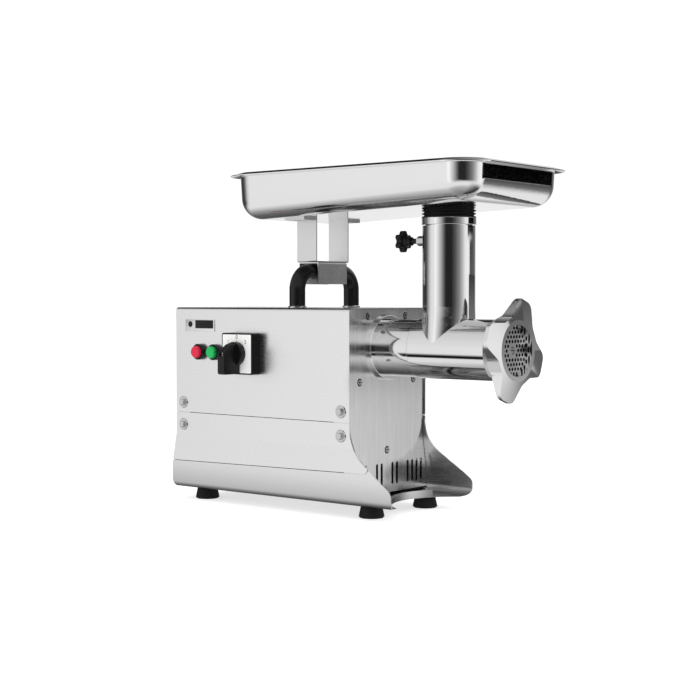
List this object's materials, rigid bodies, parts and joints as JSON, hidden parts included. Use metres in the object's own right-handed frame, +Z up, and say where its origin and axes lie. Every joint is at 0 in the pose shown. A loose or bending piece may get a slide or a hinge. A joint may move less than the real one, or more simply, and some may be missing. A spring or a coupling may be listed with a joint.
{
  "type": "electric meat grinder",
  "caption": "Stainless electric meat grinder: boxy motor casing on rubber feet, horizontal grinding head with lobed ring nut, upright feed tube and wide tray on top.",
  "frame": {"origin": "on the standing surface, at the centre of the rectangle of the four rubber feet", "axes": "+X out of the grinding head, +Z up, -Y towards the side with the buttons and the switch"},
  "size_m": [0.625, 0.2895, 0.5143],
  "materials": {
    "brushed_sheet": "brushed stainless sheet with a fine straight grain",
    "polished_plate": "bright polished stainless plate",
    "polished_casting": "polished cast stainless",
    "tray_steel": "deep-drawn stainless, satin inside and bright outside",
    "zinc_hardware": "bright plated steel fasteners",
    "black_rubber": "moulded black rubber",
    "black_plastic": "black moulded plastic with a satin sheen",
    "grip_black": "black plastic grip, half gloss",
    "white_face": "white switch face",
    "red_cap": "red push-button cap",
    "green_cap": "green push-button cap",
    "badge": "blank badge with a dark and a silver field",
    "cast_aluminium": "sand-cast aluminium",
    "machined_steel": "ground and machined steel",
    "lamination": "stacked laminations",
    "copper": "varnished copper coils",
    "fan_plastic": "moulded fan",
    "capacitor_case": "pale capacitor can"
  },
  "bodies": {
    "root": {"upper_cover": "brushed_sheet", "lower_panel_left": "brushed_sheet", "lower_panel_right": "brushed_sheet", "base_pan": "brushed_sheet", "front_plate": "polished_plate", "rear_plate": "brushed_sheet", "motor_support": "machined_steel", "rubber_feet": "black_rubber", "foot_bolts": "zinc_hardware", "foot_nuts": "zinc_hardware", "side_bolts": "zinc_hardware", "side_washers": "zinc_hardware", "front_plate_screws": "zinc_hardware", "carry_handle": "grip_black", "handle_collars": "zinc_hardware", "handle_bolts": "zinc_hardware", "nameplate": "badge", "cable_gland": "black_plastic", "button_bezels": "black_plastic", "contact_blocks": "black_plastic", "button_springs": "machined_steel", "switch_housing": "black_plastic", "switch_face_plate": "white_face", "switch_body": "black_plastic", "stator_core": "lamination", "stator_windings": "copper", "motor_end_bells": "cast_aluminium", "motor_tie_bolts": "zinc_hardware", "capacitor": "capacitor_case", "bearings": "machined_steel", "gearbox_housing": "cast_aluminium", "gearbox_cover": "cast_aluminium", "gearbox_screws": "zinc_hardware", "head_socket": "polished_casting", "grinder_head": "polished_casting", "feed_tube": "polished_casting", "plate_key_pin": "zinc_hardware", "tray_lock_boss": "zinc_hardware"},
    "rotor": {"motor_shaft": "machined_steel", "rotor_core": "lamination", "cooling_fan": "fan_plastic"},
    "layshaft_set": {"layshaft": "machined_steel", "layshaft_gear": "machined_steel"},
    "feed_screw": {"output_gear": "machined_steel", "output_shaft": "machined_steel", "auger": "machined_steel", "knife": "machined_steel"},
    "cutting_plate": {"grinding_plate": "machined_steel"},
    "ring_nut": {"ring_nut": "polished_casting"},
    "tray": {"feed_tray": "tray_steel", "tray_neck": "polished_casting", "tray_gasket": "black_rubber", "tray_bracket": "brushed_sheet", "handle_saddle": "brushed_sheet"},
    "tray_lock": {"tray_lock_knob": "black_plastic"},
    "head_lock": {"head_lock_knob": "black_plastic"},
    "selector": {"switch_knob": "black_plastic", "knob_screw": "zinc_hardware"},
    "red_button": {"red_button": "red_cap"},
    "green_button": {"green_button": "green_cap"}
  },
  "joints": [
    {"name": "motor_spin", "type": "hinge", "parent": "root", "child": "rotor", "pos_m": [0, 0, 0.1452], "axis": [1, 0, 0], "continuous": true},
    {"name": "layshaft_spin", "type": "hinge", "parent": "root", "child": "layshaft_set", "pos_m": [0.1, 0, 0.1887], "axis": [1, 0, 0], "continuous": true},
    {"name": "auger_spin", "type": "hinge", "parent": "root", "child": "feed_screw", "pos_m": [0.2, 0, 0.2487], "axis": [1, 0, 0], "continuous": true},
    {"name": "ring_nut_advance", "type": "slide", "parent": "root", "child": "cutting_plate", "axis": [1, 0, 0], "range_m": [0, 0.018]},
    {"name": "ring_nut_turn", "type": "hinge", "parent": "cutting_plate", "child": "ring_nut", "pos_m": [0.3655, 0, 0.2487], "axis": [1, 0, 0], "range_deg": [0, 1080]},
    {"name": "tray_lift", "type": "slide", "parent": "root", "child": "tray", "axis": [0, 0, 1], "range_m": [0, 0.12]},
    {"name": "tray_lock_turn", "type": "hinge", "parent": "root", "child": "tray_lock", "pos_m": [0.1786, 0, 0.408], "axis": [-1, 0, 0], "range_deg": [0, 720]},
    {"name": "head_lock_turn", "type": "hinge", "parent": "root", "child": "head_lock", "pos_m": [0.1835, 0.07, 0.2487], "axis": [0, 1, 0], "range_deg": [0, 720]},
    {"name": "selector_turn", "type": "hinge", "parent": "root", "child": "selector", "pos_m": [-0.0595, -0.12, 0.2375], "axis": [0, -1, 0], "range_deg": [-45, 45]},
    {"name": "red_button_press", "type": "slide", "parent": "root", "child": "red_button", "axis": [0, 1, 0], "range_m": [0, 0.003], "stiffness_N_per_m": 400, "deforming": ["button_springs"]},
    {"name": "green_button_press", "type": "slide", "parent": "root", "child": "green_button", "axis": [0, 1, 0], "range_m": [0, 0.003], "stiffness_N_per_m": 400, "deforming": ["button_springs"]}
  ],
  "couplings": [
    {"joint": "layshaft_spin", "follows": "motor_spin", "ratio": -0.34884},
    {"joint": "auger_spin", "follows": "motor_spin", "ratio": 0.13791},
    {"joint": "ring_nut_advance", "follows": "ring_nut_turn", "m_per_rad": 0.00095493}
  ]
}
